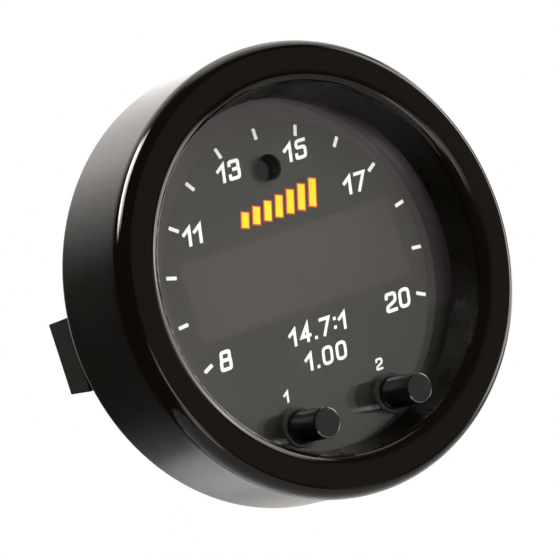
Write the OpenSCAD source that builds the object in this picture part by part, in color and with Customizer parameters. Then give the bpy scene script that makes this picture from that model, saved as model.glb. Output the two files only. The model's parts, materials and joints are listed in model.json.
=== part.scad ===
// Air fuel ratio gauge for a 52 mm round hole in a dashboard panel.
// The origin is the centre of the housing's rear flange face, which rests on the panel.
// +Z is up, and the dial looks along -Y.
// Each piece is drawn face on, with x to the right, y up and z towards the viewer,
// and face_on() then stands it upright.

/* [Bezel] */
// How far the bezel reaches past the edge of the panel hole
bezel_overhang = 4.2; // [3.8:0.1:6]
// Height of the bezel's side wall
bezel_depth = 2.75; // [2.4:0.05:3.5]
// Width of the rounded front edge
edge_w = 1.6; // [1.2:0.1:2]
// Depth of the bezel's outer rounding, as a share of the bezel's depth
edge_share = 0.8; // [0.5:0.05:0.9]
// Width of the flat front ring
face_w = 2.1; // [1.7:0.1:2.4]
// Width of the rounded inner lip
lip_w = 2; // [1.6:0.1:2.2]
// Depth of the rounded inner lip
lip_d = 1.2; // [0.8:0.1:1.6]
// Thickness of the spigot that enters the housing
spigot_t = 1.35; // [1:0.05:1.5]
// Taper of the glossy ring inside the bezel, from its top to the lens
trim_taper = 0.9; // [0.5:0.1:1.2]

/* [Housing] */
// Diameter of the cup that enters the panel hole
cup_d = 52; // [46:0.5:62]
// How far the bezel stands out past the housing's front rim
front_step = 0.45; // [0.2:0.05:0.7]
// How much the housing's radius grows towards the panel
housing_draft = 0.5; // [0:0.1:0.8]
// Thickness of the housing's side wall
wall = 2; // [1.8:0.1:2.3]
// Thickness of the flange that rests on the panel
flange_t = 2.6; // [2.3:0.1:2.8]
// Rounding of the housing's rear edge
rear_round = 0.8; // [0.4:0.1:1.2]
// Depth of the cup behind the panel face
cup_depth = 5.1; // [4.3:0.1:6]
// Thickness of the cup's wall
cup_wall = 1.6; // [1.4:0.1:1.8]

/* [Lens and dial] */
// Depth of the lens behind the bezel's face
lens_recess = 6.2; // [5.8:0.1:6.5]
// Thickness of the lens
lens_t = 1.6; // [1.4:0.1:1.9]
// Thickness of the dial plate
plate_t = 0.5; // [0.4:0.1:0.7]
// Thickness of the smoked filter behind the dial plate
filter_t = 0.3; // [0.2:0.1:0.4]
// Distance along the window from its corners to the light sweep
window_margin = 2.6; // [2.2:0.1:4]
// Height of the digit window
window_h = 10.8; // [10:0.2:11.2]
// Height of the digit window's centre over the gauge's axis
window_y = 0.6; // [0:0.1:1]
// Wall between the light sweep's slot and the screws outside it
sweep_web = 0.5; // [0.4:0.05:0.8]
// Width of the light sweep's slot
sweep_w = 2.9; // [2.6:0.1:3.2]
// Lowest angle of the sweep on the right, counted from the right-hand side
sweep_start = -25; // [-30:1:-20]
// Number of lights in the sweep
sweep_count = 24; // [12:1:26]
// Diameter of the light sensor's hole in the lens
sensor_d = 3.3; // [2.8:0.1:3.6]
// Height of the light sensor, as a share of the sweep's inner radius
sensor_share = 0.7073; // [0.68:0.01:0.74]

/* [Buttons] */
// Angle of each button from straight down
button_angle = 21.8; // [20:0.2:30]
// Distance of each button's middle from the glossy ring's foot
button_inset = 3.14; // [3:0.02:3.6]
// Diameter of a button where it is guided
button_d = 4.4; // [4:0.1:4.6]
// Diameter of a button at its tip
button_tip_d = 4.1; // [3.6:0.1:4.2]
// How far a button stands out past the bezel's face
button_stand = 0.4; // [0.4:0.1:1.2]
// How far a button travels when it is pressed
button_travel = 0.4; // [0.2:0.05:0.4]
// Width of the ring round a button
bushing_w = 0.55; // [0.5:0.05:0.7]

/* [Boards] */
// Thickness of both circuit boards
board_t = 1.6; // [1.2:0.1:1.7]
// Space between the rear board and the rear cover
rear_space = 1.9; // [1.7:0.1:2.2]
// Depth of the light box on the front board
box_depth = 4; // [3.5:0.1:5]
// Height of the digits, as a share of the window's height
digit_h_share = 0.76; // [0.64:0.02:0.8]
// Distance from one digit to the next, as a share of the window's width
digit_pitch_share = 0.241; // [0.225:0.005:0.25]

/* [Rear] */
// Thickness of the rear cover
cover_t = 1.2; // [1:0.1:1.4]
// Height of the connectors over the rear board
connector_h = 6.4; // [5.6:0.1:8]
// Width of the connectors across their two long walls
connector_w = 7.4; // [7:0.1:7.6]
// Number of contacts in the harness connector
harness_ways = 4; // [3:1:4]
// Number of contacts in the sensor connector
sensor_ways = 6; // [4:1:6]

/* [Clamp] */
// Distance of each stud from the middle, as a share of the cup's inner radius
stud_share = 0.6967; // [0.68:0.01:0.72]
// Diameter of the studs' thread
stud_d = 4; // [3.4:0.1:4.2]
// Pitch of the studs' thread
thread_pitch = 0.7; // [0.5:0.05:0.8]
// Height of the bracket's middle against the gauge's axis
bracket_y = -1.15; // [-1.2:0.05:-0.6]
// Width of the bracket at its bar
bracket_w = 9.6; // [9:0.1:9.8]
// How much wider the legs are at their tips
bracket_draft = 0.45; // [0:0.05:1]
// Thickness of the bracket
bracket_t = 2; // [1.6:0.1:2.4]
// Gap between the legs' tips and the flange, as for a thin panel
leg_tip_gap = 2.5; // [2.1:0.1:3]
// Gap between the bracket's bar and the rear cover in that place
bracket_gap = 1.2; // [1.2:0.1:3]
// How far the bracket moves back from there for a thick panel
clamp_travel = 6; // [3:0.5:8]
// Diameter of the thumb nuts
nut_d = 9; // [8.4:0.1:9.6]
// Thickness of the thumb nuts
nut_t = 3.2; // [2.4:0.1:4]

/* [Hidden] */
$fn = 96;

// Overrun of every cut, and the small gaps between pieces
cut = 0.5;
fit_gap = 0.1;
running_gap = 0.05;
screw_gap = 0.02;

// Pitch of every row of pins and contacts
contact_pitch = 2.54;

// Seals, and the ring of adhesive between the lens and the dial plate
seal_t = 0.25;
seal_inset = 0.5;
lens_seal_t = 0.3;
cover_seal_t = 0.3;
adhesive_t = 0.1;
adhesive_w = 1.9;

// Radii, from the bezel inwards
cup_r = cup_d / 2;
cup_edge = 0.3;
cup_in_r = cup_r - cup_wall;
bezel_r = cup_r + bezel_overhang;
edge_d = edge_share * bezel_depth;
opening_r = bezel_r - edge_w - face_w;
lip_r = opening_r - lip_w;
rim_round = 0.2;
housing_front_r = bezel_r - front_step;
housing_rear_r = housing_front_r + housing_draft;
cavity_r = housing_front_r - wall;
spigot_r = cavity_r - fit_gap;
trim_outer_r = spigot_r - spigot_t - fit_gap;
trim_foot_r = lip_r - trim_taper;
trim_foot_w = 0.7;
pane_gap = 0.35;
pane_r = cavity_r - pane_gap;
cover_rebate = 0.9;
cover_r = cup_in_r + cover_rebate - fit_gap;

// Levels, from the panel to the bezel's face
board_z = flange_t + board_t;
box_z = board_z + box_depth;
plate_back_z = box_z + filter_t;
plate_z = plate_back_z + plate_t;
lens_back_z = plate_z + adhesive_t;
lens_z = lens_back_z + lens_t;
face_z = lens_z + lens_recess;
lip_z = face_z - lip_d;
lip_base_t = 0.2;
bezel_back_z = face_z - bezel_depth;
housing_depth = bezel_back_z - seal_t;

// Levels behind the panel
cover_z = cover_t - cup_depth;
power_back_z = cover_z + rear_space;
power_z = power_back_z + board_t;
board_space = flange_t - power_z;
cover_seat_z = cover_z + cover_seal_t;

// Screws that hold the light box and the front board
frame_screw_inset = 2.25;
frame_screw_r = cavity_r - frame_screw_inset;
frame_screw_angles = [60, 180, 300];
frame_web = 2.2;
frame_floor_rest = 0.5;
small_shank_r = 0.8;
small_head_r = 1.5;
small_head_t = 1.1;

// Light sweep: slot, guide and lights
box_gap = 0.1;
guide_t = 1.9;
guide_floor_z = box_z - guide_t - box_gap;
sweep_end = 180 - sweep_start;
sweep_span = sweep_end - sweep_start;
sweep_r = frame_screw_r - small_head_r - fit_gap - sweep_web - sweep_w;
sweep_mid_r = sweep_r + sweep_w / 2;
light_step = sweep_span / sweep_count;
light_angles = [for (i = [0:sweep_count - 1]) sweep_start + (i + 0.5) * light_step];
light_hole_r = 1.15;
led_w = 1.5;
led_h = 0.4;
led_lens_r = 0.55;
led_lens_h = 0.4;
window_round = 0.6;

// Digit window, whose upper corners are the ones next to the sweep
window_top_y = window_y + window_h / 2;
window_w = 2 * (sqrt(pow(sweep_r, 2) - pow(window_top_y, 2)) - window_margin);

// Digit display, a little larger than its window
display_margin_w = 0.5;
display_margin_h = 0.6;
display_w = window_w + 2 * display_margin_w;
display_h = window_h + 2 * display_margin_h;
display_gap = 0.2;
display_top_z = box_z - display_gap;
digit_count = 4;
digit_h = digit_h_share * window_h;
digit_pitch = digit_pitch_share * window_w;
digit_width_share = 0.585;
digit_width = digit_width_share * digit_pitch;
digit_lean_share = 0.14;
segment_w = 1.1;
segment_gap = 0.12;
segment_depth = 0.6;
bar_half = segment_w / 2;
bar_x = (digit_width - segment_w) / 2;
bar_y = (digit_h - segment_w) / 2;
point_r = 0.55;
pin_count = 6;
pin_row_y = 4.5;
pin_r = 0.25;
pin_tail = 1;
pin_gap = 0.15;
pin_places = [
    for (x = row(pin_count, contact_pitch), side = [-1, 1]) [x, window_y + side * pin_row_y]
];

// Light sensor and the pipe in front of it
sensor_y = sensor_share * sweep_r;
pipe_r = sensor_d / 2 - running_gap;
pipe_flange_w = 0.6;
pipe_flange_t = 0.6;
pipe_flange_z = box_z - fit_gap - pipe_flange_t;
sensor_w = 2;
sensor_depth = 1.25;
sensor_h = 0.8;
sensor_hole_edge = 0.15;

// Buttons and their rings
button_place_r = trim_foot_r - button_inset;
button_x = button_place_r * sin(button_angle);
button_drop = button_place_r * cos(button_angle);
button_r = button_d / 2;
button_tip_r = button_tip_d / 2;
tip_z = face_z + button_stand;
tip_round = 0.3;
button_dome = 0.1;
button_flange_w = 0.7;
button_flange_r = button_r + button_flange_w;
button_flange_t = 0.7;
button_stem_r = 1.2;
button_pocket_r = 3.7;
button_top_z = box_z - fit_gap;
bushing_play = 0.08;
bushing_in_r = button_r + bushing_play;
bushing_barrel_t = 0.3;
bushing_hole_r = bushing_in_r + bushing_barrel_t + running_gap;
bushing_stand = 0.25;
bushing_edge = 0.08;
bushing_top_z = lens_z + bushing_stand;
button_guide_z = bushing_top_z + 2 * button_travel;

// Switches behind the buttons
switch_w = 4.5;
switch_h = 1.8;
switch_floor_t = 0.25;
switch_cover_t = 0.2;
switch_bore_r = 1.5;
switch_top_z = board_z + switch_h;
switch_lead_w = 0.6;
switch_lead_reach = 0.8;
switch_lead_t = 0.2;
switch_lead_y = 1.5;
plunger_r = 1;
plunger_stand = 0.6;
plunger_top_z = switch_top_z + plunger_stand;
plunger_flange_r = 1.4;
plunger_flange_t = 0.45;
plunger_flange_z = switch_top_z - switch_cover_t - running_gap - plunger_flange_t;
dome_r = 1.35;
dome_h = 0.3;
dome_t = 0.08;

// Other screws, spacers and the bosses for the cover's screws
shank_r = 1;
head_r = 1.9;
head_t = 1.2;
head_gap = 0.3;
slot_w = 0.5;
slot_depth = 0.5;
cross_w = 2.3;
spacer_r = 2.3;
spacer_bite_share = 0.45;
// Places on the boards, as shares of the cup's inner radius across and up
spacer_shares = [[0, -0.805], [0.565, 0.4525], [-0.565, 0.4525]];
spacer_places = cup_in_r * spacer_shares;
boss_r = 1.9;
boss_inset = 1.6;
boss_gap = 0.3;
boss_step = 0.2;
boss_z = 2;
cover_screw_r = cup_in_r - boss_inset;
cover_screw_angles = [45, 135, 225, 315];
cover_screw_len = 5.5;
cover_screw_tip_z = cover_screw_len - cup_depth;
countersink_t = 0.9;

// What the boards carry
board_inset = 0.5;
power_board_r = cup_in_r - board_inset;
link_ways = 5;
link_w = 2.5;
link_inset = 6.2;
link_y = cup_in_r - link_inset;
link_pin_r = 0.32;
link_places = [for (x = row(link_ways, contact_pitch)) [x, link_y]];
chip_w = 5.4;
chip_h = 1.2;
chip_share = -0.405;
chip_y = chip_share * cup_in_r;
chip_stand = 0.1;
chip_back_z = flange_t - chip_stand - chip_h;
chip_lead_count = 6;
chip_lead_pitch = 0.8;
chip_lead_w = 0.35;
chip_lead_t = 0.15;
chip_lead_reach = 1;
driver_w = 9;
driver_depth = 4.4;
driver_share = 0.44;
driver_y = driver_share * cup_in_r;
driver_lead_count = 10;
regulator_w = 6.5;
regulator_depth = 3.5;
regulator_h = 1.6;
regulator_tab_w = 3;
regulator_tab_t = 0.3;
regulator_tab_reach = 1.4;
regulator_tab_len = regulator_depth + 2 * regulator_tab_reach;
regulator_shares = [-0.594, -0.328];
regulator_place = cup_in_r * regulator_shares;
inductor_w = 6.8;
inductor_round = 1.6;
inductor_h_share = 0.8;
inductor_h = inductor_h_share * board_space;
inductor_shares = [0.574, -0.328];
inductor_place = cup_in_r * inductor_shares;
capacitor_w = 3.2;
capacitor_depth = 1.6;
capacitor_h = 1.4;
capacitor_shares = [
    [-0.82, -0.08], [0.82, -0.08], [-0.389, -0.635], [0.389, -0.635], [-0.738, 0.164], [0.738, 0.164]
];
capacitor_places = cup_in_r * capacitor_shares;

// Connectors
contact_w = 0.64;
contact_tail = 0.6;
contact_short = 1.4;
contact_hole_r = 0.55;
socket_wall = 0.9;
socket_end = 0.6;
socket_floor_t = 1.2;
socket_mouth_z = power_back_z - connector_h;
key_w = 3;
key_depth = 2.4;
window_gap = 0.2;
bracket_clearance = 0.75;
harness_y = bracket_y - (bracket_w + connector_w) / 2 - bracket_clearance;
sensor_socket_share = 0.4344;
sensor_socket_y = sensor_socket_share * cup_in_r;
harness_places = [for (x = row(harness_ways, contact_pitch)) [x, harness_y]];
sensor_places = [for (x = row(sensor_ways, contact_pitch)) [x, sensor_socket_y]];

// Bracket, washers, nuts and studs, from the cover back
leg_gap = 0.5;
bracket_corner = 0.6;
bracket_hole_gap = 0.3;
bar_z = -cup_depth - bracket_gap;
bar_back_z = bar_z - bracket_t;
washer_t = 0.6;
washer_w = 2.4;
washer_z = bar_back_z - washer_t;
nut_z = washer_z - running_gap;
nut_back_z = nut_z - nut_t;
nut_collar_w = 1.4;
nut_collar_t = 0.8;
nut_edge = 0.2;
nut_flutes = 24;
flute_angles = [for (i = [0:nut_flutes - 1]) i * 360 / nut_flutes];
flute_r = 0.35;
stud_r = stud_d / 2 - screw_gap;
stud_x = stud_share * cup_in_r;
stud_places = [[-stud_x, bracket_y], [stud_x, bracket_y]];
stud_head_r = 3;
stud_head_t = 1.2;
stud_margin = 0.9;
stud_end_z = nut_back_z - clamp_travel - stud_margin;
thread_depth_share = 0.55;
thread_depth = thread_depth_share * thread_pitch;
// Points of one turn of the thread: share of its depth, and share of its pitch
thread_shares = [[1, 0], [0, 0.375], [0, 0.625]];

function socket_width(ways) = ways * contact_pitch + socket_end;

// Outlines
function arc(cx, cy, rx, ry, from, to, steps = 8) =
    [for (i = [0:steps]) let (a = from + (to - from) * i / steps) [cx + rx * cos(a), cy + ry * sin(a)]];

function dome(r, base_z, h, steps = 6) =
    [for (i = [0:steps]) let (x = r * (1 - i / steps)) [x, base_z + h * (1 - pow(x / r, 2))]];

function reversed(points) = [for (i = [len(points) - 1:-1:0]) points[i]];

function rounded_box(w, h, r) = concat(
    arc(w / 2 - r, h / 2 - r, r, r, 0, 90),
    arc(r - w / 2, h / 2 - r, r, r, 90, 180),
    arc(r - w / 2, r - h / 2, r, r, 180, 270),
    arc(w / 2 - r, r - h / 2, r, r, 270, 360)
);

function row(count, pitch) = [for (i = [0:count - 1]) (i - (count - 1) / 2) * pitch];

// Placing and plain solids between two levels
module face_on() {
    rotate([90, 0, 0]) children();
}

module at(place) {
    translate([place[0], place[1], 0]) children();
}

module at_each(places) {
    for (place = places) at(place) children();
}

module around(r, angles) {
    for (a = angles) rotate([0, 0, a]) translate([r, 0, 0]) children();
}

module at_button(side) {
    at([side * button_x, -button_drop]) children();
}

module at_buttons() {
    for (side = [-1, 1]) at_button(side) children();
}

module disc(r, low, high) {
    translate([0, 0, low]) cylinder(r = r, h = high - low);
}

module hole(r, low, high) {
    disc(r, low - cut, high + cut);
}

module ring(r_out, r_in, low, high) {
    difference() {
        disc(r_out, low, high);
        hole(r_in, low, high);
    }
}

module block(w, h, low, high) {
    translate([-w / 2, -h / 2, low]) cube([w, h, high - low]);
}

module plate(points, low, high) {
    translate([0, 0, low]) linear_extrude(high - low) polygon(points);
}

module turned(outline) {
    rotate_extrude() polygon(outline);
}

// Band of the light sweep, with round ends
module sweep_band(r_in, w, low, high) {
    rotate([0, 0, sweep_start]) rotate_extrude(angle = sweep_span)
        translate([r_in, low]) square([w, high - low]);
    around(r_in + w / 2, [sweep_start, sweep_end]) disc(w / 2, low, high);
}

// Holes for both buttons and the light sensor, through the lens, the dial plate and the filter
module face_holes(low, high) {
    at_buttons() hole(bushing_hole_r, low, high);
    at([0, sensor_y]) hole(sensor_d / 2, low, high);
}

// Housing: side wall, flange and cup, with the bosses for the cover's screws
function housing_outline() = concat(
    [[cup_in_r, cover_seat_z], [cover_r + fit_gap, cover_seat_z], [cover_r + fit_gap, -cup_depth]],
    [[cup_r - cup_edge, -cup_depth], [cup_r, cup_edge - cup_depth], [cup_r, 0]],
    arc(housing_rear_r - rear_round, rear_round, rear_round, rear_round, -90, 0),
    arc(housing_front_r - rim_round, housing_depth - rim_round, rim_round, rim_round, 0, 90),
    [[cavity_r, housing_depth], [cavity_r, flange_t], [cup_in_r, flange_t]]
);

module housing() {
    color("#232326") face_on() difference() {
        union() {
            turned(housing_outline());
            around(cover_screw_r, cover_screw_angles) disc(boss_r, cover_seat_z + boss_step, boss_z);
        }
        around(cover_screw_r, cover_screw_angles)
            disc(shank_r + screw_gap, cover_seat_z - cut, cover_screw_tip_z + fit_gap);
        around(frame_screw_r, frame_screw_angles)
            disc(small_shank_r + screw_gap, frame_floor_rest, flange_t + cut);
    }
}

// Bezel: rounded outer edge, flat front ring, sloping lip and a spigot inside the housing
function bezel_outline() = concat(
    [[lip_r, lip_z - lip_base_t]],
    arc(opening_r, lip_z, lip_w, lip_d, 180, 90, 10),
    arc(bezel_r - edge_w, face_z - edge_d, edge_w, edge_d, 90, 0, 12),
    [[bezel_r, bezel_back_z + rim_round], [bezel_r - rim_round, bezel_back_z]],
    [[spigot_r, bezel_back_z], [spigot_r, lens_z + lens_seal_t]],
    [[spigot_r - spigot_t, lens_z + lens_seal_t], [spigot_r - spigot_t, lip_z - lip_base_t]]
);

module bezel() {
    color("#1a1a1c") face_on() turned(bezel_outline());
}

module bezel_seal() {
    color("#101010") face_on()
        ring(housing_front_r - seal_inset, cavity_r, housing_depth, bezel_back_z);
}

// Glossy ring between the bezel's lip and the lens
module trim_ring() {
    top_z = lip_z - lip_base_t - fit_gap;
    color("#141416") face_on() turned([
        [trim_foot_r, lens_z], [trim_foot_r + trim_foot_w, lens_z],
        [trim_foot_r + trim_foot_w, lens_z + lens_seal_t], [trim_outer_r, lens_z + lens_seal_t],
        [trim_outer_r, top_z], [lip_r, top_z]
    ]);
}

module lens_seal() {
    color("#101010") face_on()
        ring(pane_r, trim_foot_r + trim_foot_w + fit_gap, lens_z, lens_z + lens_seal_t);
}

module lens() {
    color("#55585a", 0.5) face_on() difference() {
        disc(pane_r, lens_back_z, lens_z);
        face_holes(lens_back_z, lens_z);
        at([0, sensor_y]) translate([0, 0, lens_z - sensor_hole_edge])
            cylinder(r1 = sensor_d / 2, r2 = sensor_d / 2 + 2 * sensor_hole_edge, h = 2 * sensor_hole_edge);
    }
}

module adhesive_ring() {
    color("#b08040") face_on() ring(pane_r, pane_r - adhesive_w, plate_z, lens_back_z);
}

// Dial plate with the digit window and the slot of the light sweep
module dial_plate() {
    color("#3a3a38") face_on() difference() {
        disc(pane_r, plate_back_z, plate_z);
        face_holes(plate_back_z, plate_z);
        at([0, window_y])
            plate(rounded_box(window_w, window_h, window_round), plate_back_z - cut, plate_z + cut);
        sweep_band(sweep_r, sweep_w, plate_back_z - cut, plate_z + cut);
    }
}

module smoke_filter() {
    color("#2c2829", 0.7) face_on() difference() {
        disc(pane_r, box_z, plate_back_z);
        face_holes(box_z, plate_back_z);
    }
}

// Moulded box that keeps the digits, the sweep and the sensor apart and carries the dial
module light_box() {
    color("#303034") face_on() difference() {
        disc(pane_r, board_z, box_z);
        at([0, window_y])
            block(display_w + 2 * display_gap, display_h + 2 * display_gap, board_z - cut, box_z + cut);
        sweep_band(sweep_r, sweep_w, guide_floor_z, box_z + cut);
        around(sweep_mid_r, light_angles) hole(light_hole_r, board_z, guide_floor_z);
        at_buttons() hole(button_pocket_r, board_z, box_z);
        at([0, sensor_y]) {
            hole(pipe_r + box_gap, board_z, box_z);
            disc(pipe_r + pipe_flange_w + box_gap, pipe_flange_z - box_gap, box_z + cut);
        }
        around(frame_screw_r, frame_screw_angles) {
            hole(small_shank_r + fit_gap, board_z, box_z);
            disc(small_head_r + fit_gap, board_z + frame_web, box_z + cut);
        }
        at_each(spacer_places) disc(head_r + head_gap, board_z - cut, board_z + head_t + head_gap);
    }
}

module light_guide() {
    color("#e8ecee", 0.8) face_on()
        sweep_band(sweep_r + box_gap, sweep_w - 2 * box_gap, guide_floor_z, guide_floor_z + guide_t);
}

module sweep_leds() {
    color("#f4e9b0") face_on() around(sweep_mid_r, light_angles) {
        block(led_w, led_w, board_z, board_z + led_h);
        disc(led_lens_r, board_z + led_h, board_z + led_h + led_lens_h);
    }
}

// Digit display: seven bars and a point for each digit, set into the module's face
function flat_bar(y) = [
    [segment_gap - bar_x, y], [segment_gap + bar_half - bar_x, y + bar_half],
    [bar_x - bar_half - segment_gap, y + bar_half], [bar_x - segment_gap, y],
    [bar_x - bar_half - segment_gap, y - bar_half], [segment_gap + bar_half - bar_x, y - bar_half]
];

function upright_bar(x, low) = [
    [x, low + segment_gap], [x + bar_half, low + segment_gap + bar_half],
    [x + bar_half, low + bar_y - segment_gap - bar_half], [x, low + bar_y - segment_gap],
    [x - bar_half, low + bar_y - segment_gap - bar_half], [x - bar_half, low + segment_gap + bar_half]
];

function leaning(points) = [for (p = points) [p[0] + digit_lean_share * p[1], p[1]]];

module digit_bars(low, high) {
    flats = [for (y = [-bar_y, 0, bar_y]) flat_bar(y)];
    uprights = [for (x = [-bar_x, bar_x], y = [-bar_y, 0]) upright_bar(x, y)];
    for (x = row(digit_count, digit_pitch)) at([x, window_y]) {
        for (bar = concat(flats, uprights)) plate(leaning(bar), low, high);
        at([digit_width / 2 + point_r, -bar_y]) disc(point_r, low, high);
    }
}

module digit_display() {
    color("#8c8c8a") face_on() difference() {
        at([0, window_y]) block(display_w, display_h, board_z, display_top_z);
        digit_bars(display_top_z - segment_depth, display_top_z + cut);
    }
}

module digit_segments() {
    color("#e9e4dc") face_on() digit_bars(display_top_z - segment_depth, display_top_z);
}

module display_pins() {
    color("#c8c8c4") face_on() at_each(pin_places) disc(pin_r, flange_t - pin_tail, board_z);
}

// Light sensor on the board, and the dark pipe that leads to it from the lens
module sensor_pipe() {
    color("#1c1a1a") face_on() at([0, sensor_y]) {
        disc(pipe_r, board_z + sensor_h + fit_gap, lens_back_z);
        disc(pipe_r + pipe_flange_w, pipe_flange_z, box_z - fit_gap);
    }
}

module light_sensor() {
    color("#302c38") face_on() at([0, sensor_y])
        block(sensor_w, sensor_depth, board_z, board_z + sensor_h);
}

// Button: a stem on the switch, a flange behind the dial, a guided part and a tapered tip
function button_outline() = concat(
    [[0, plunger_top_z], [button_stem_r, plunger_top_z], [button_stem_r, button_top_z - button_flange_t]],
    [[button_flange_r, button_top_z - button_flange_t], [button_flange_r, button_top_z]],
    [[button_r, button_top_z], [button_r, button_guide_z]],
    arc(button_tip_r - tip_round, tip_z - button_dome - tip_round, tip_round, tip_round, 0, 90, 5),
    dome(button_tip_r - tip_round, tip_z - button_dome, button_dome)
);

module button(side) {
    color("#19191b") face_on() at_button(side) turned(button_outline());
}

module bushing(side) {
    barrel_r = bushing_in_r + bushing_barrel_t;
    color("#77777a") face_on() at_button(side) turned([
        [bushing_in_r, plate_back_z], [barrel_r, plate_back_z], [barrel_r, lens_z],
        [button_r + bushing_w, lens_z], [button_r + bushing_w, bushing_top_z - bushing_edge],
        [button_r + bushing_w - bushing_edge, bushing_top_z], [bushing_in_r, bushing_top_z]
    ]);
}

module plunger(side) {
    flange_top_z = plunger_flange_z + plunger_flange_t;
    color("#c9c2a8") face_on() at_button(side) turned([
        [0, plunger_flange_z], [plunger_flange_r, plunger_flange_z], [plunger_flange_r, flange_top_z],
        [plunger_r, flange_top_z], [plunger_r, plunger_top_z], [0, plunger_top_z]
    ]);
}

module switch_body(side) {
    color("#2a2a2a") face_on() at_button(side) difference() {
        block(switch_w, switch_w, board_z, switch_top_z - switch_cover_t);
        disc(switch_bore_r, board_z + switch_floor_t, switch_top_z + cut);
    }
}

module switch_covers() {
    color("#b8b8b4") face_on() at_buttons() difference() {
        block(switch_w, switch_w, switch_top_z - switch_cover_t, switch_top_z);
        hole(plunger_r + running_gap, switch_top_z - switch_cover_t, switch_top_z);
    }
}

module switch_leads() {
    middle = (switch_w + switch_lead_reach) / 2;
    color("#c8c8c4") face_on() at_buttons()
        at_each([for (side = [-1, 1], y = [-switch_lead_y, switch_lead_y]) [side * middle, y]])
            block(switch_lead_reach, switch_lead_w, board_z, board_z + switch_lead_t);
}

module snap_domes() {
    floor_z = board_z + switch_floor_t;
    color("#d0d0cc") face_on() at_buttons() turned(concat(
        dome(dome_r, floor_z, dome_h),
        reversed(dome(dome_r - dome_t, floor_z, dome_h - dome_t))
    ));
}

// Circuit boards, and the screws and spacers that hold them
module display_board() {
    color("#1f5a38") face_on() difference() {
        disc(pane_r, flange_t, board_z);
        around(frame_screw_r, frame_screw_angles) hole(small_shank_r + fit_gap, flange_t, board_z);
        at_each(spacer_places) hole(shank_r + fit_gap, flange_t, board_z);
        at_each(pin_places) hole(pin_r + pin_gap, flange_t, board_z);
        at_each(link_places) hole(link_pin_r + pin_gap, flange_t, board_z);
    }
}

module frame_screws() {
    seat_z = board_z + frame_web;
    head_z = seat_z + small_head_t;
    color("#a8a8a4") face_on() around(frame_screw_r, frame_screw_angles) difference() {
        union() {
            disc(small_shank_r, frame_floor_rest + fit_gap, seat_z);
            disc(small_head_r, seat_z, head_z);
        }
        block(2 * small_head_r + cut, slot_w, head_z - slot_depth, head_z + cut);
    }
}

module board_spacers() {
    color("#b8963c") face_on() at_each(spacer_places) difference() {
        translate([0, 0, power_z]) cylinder(r = spacer_r, h = board_space, $fn = 6);
        hole(shank_r + screw_gap, power_z, flange_t);
    }
}

module pan_screw(reach) {
    difference() {
        union() {
            disc(shank_r, -reach, 0);
            disc(head_r, 0, head_t);
        }
        block(2 * head_r + cut, slot_w, head_t - slot_depth, head_t + cut);
    }
}

module board_screws() {
    reach = board_t + spacer_bite_share * board_space;
    color("#a8a8a4") face_on() at_each(spacer_places) {
        translate([0, 0, board_z]) pan_screw(reach);
        translate([0, 0, power_back_z]) rotate([180, 0, 0]) pan_screw(reach);
    }
}

module power_board() {
    color("#1f5a38") face_on() difference() {
        disc(power_board_r, power_back_z, power_z);
        around(cover_screw_r, cover_screw_angles) hole(boss_r + boss_gap, power_back_z, power_z);
        at_each(spacer_places) hole(shank_r + fit_gap, power_back_z, power_z);
        at_each(link_places) hole(link_pin_r + pin_gap, power_back_z, power_z);
        at_each(harness_places) hole(contact_hole_r, power_back_z, power_z);
        at_each(sensor_places) hole(contact_hole_r, power_back_z, power_z);
    }
}

module link_header() {
    color("#18181a") face_on() difference() {
        at([0, link_y]) block(link_ways * contact_pitch, link_w, power_z, flange_t);
        at_each(link_places) hole(link_pin_r + screw_gap, power_z, flange_t);
    }
}

module link_pins() {
    color("#c9a64a") face_on() at_each(link_places) disc(link_pin_r, power_back_z - contact_tail, board_z);
}

// Chips under the display board, with a row of leads on each side that has them
module controller_chip() {
    color("#1c1c1e") face_on() at([0, chip_y])
        block(chip_w, chip_w, chip_back_z, flange_t - chip_stand);
}

module driver_chip() {
    color("#1c1c1e") face_on() at([0, driver_y])
        block(driver_w, driver_depth, chip_back_z, flange_t - chip_stand);
}

module lead_row(edge, count) {
    middle_z = flange_t - chip_stand - chip_h / 2;
    knee = edge + chip_lead_reach / 2;
    for (y = row(count, chip_lead_pitch)) translate([0, y, 0]) rotate([90, 0, 0])
        linear_extrude(chip_lead_w, center = true) polygon([
            [edge, middle_z - chip_lead_t / 2], [knee, middle_z - chip_lead_t / 2],
            [knee, flange_t - chip_lead_t], [edge + chip_lead_reach, flange_t - chip_lead_t],
            [edge + chip_lead_reach, flange_t], [knee - chip_lead_t, flange_t],
            [knee - chip_lead_t, middle_z + chip_lead_t / 2], [edge, middle_z + chip_lead_t / 2]
        ]);
}

module chip_leads() {
    color("#c8c8c4") face_on() {
        at([0, chip_y]) for (a = [0:90:270]) rotate([0, 0, a]) lead_row(chip_w / 2, chip_lead_count);
        at([0, driver_y]) for (a = [90, 270]) rotate([0, 0, a]) lead_row(driver_depth / 2, driver_lead_count);
    }
}

// Power parts on the rear board
module voltage_regulator() {
    color("#242426") face_on() at(regulator_place) {
        block(regulator_w, regulator_depth, power_z + regulator_tab_t, power_z + regulator_h);
        block(regulator_tab_w, regulator_tab_len, power_z, power_z + regulator_tab_t);
    }
}

module power_inductor() {
    color("#4a4a4e") face_on() at(inductor_place)
        plate(rounded_box(inductor_w, inductor_w, inductor_round), power_z, power_z + inductor_h);
}

module capacitors() {
    color("#b59a72") face_on() at_each(capacitor_places)
        block(capacitor_w, capacitor_depth, power_z, power_z + capacitor_h);
}

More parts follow.
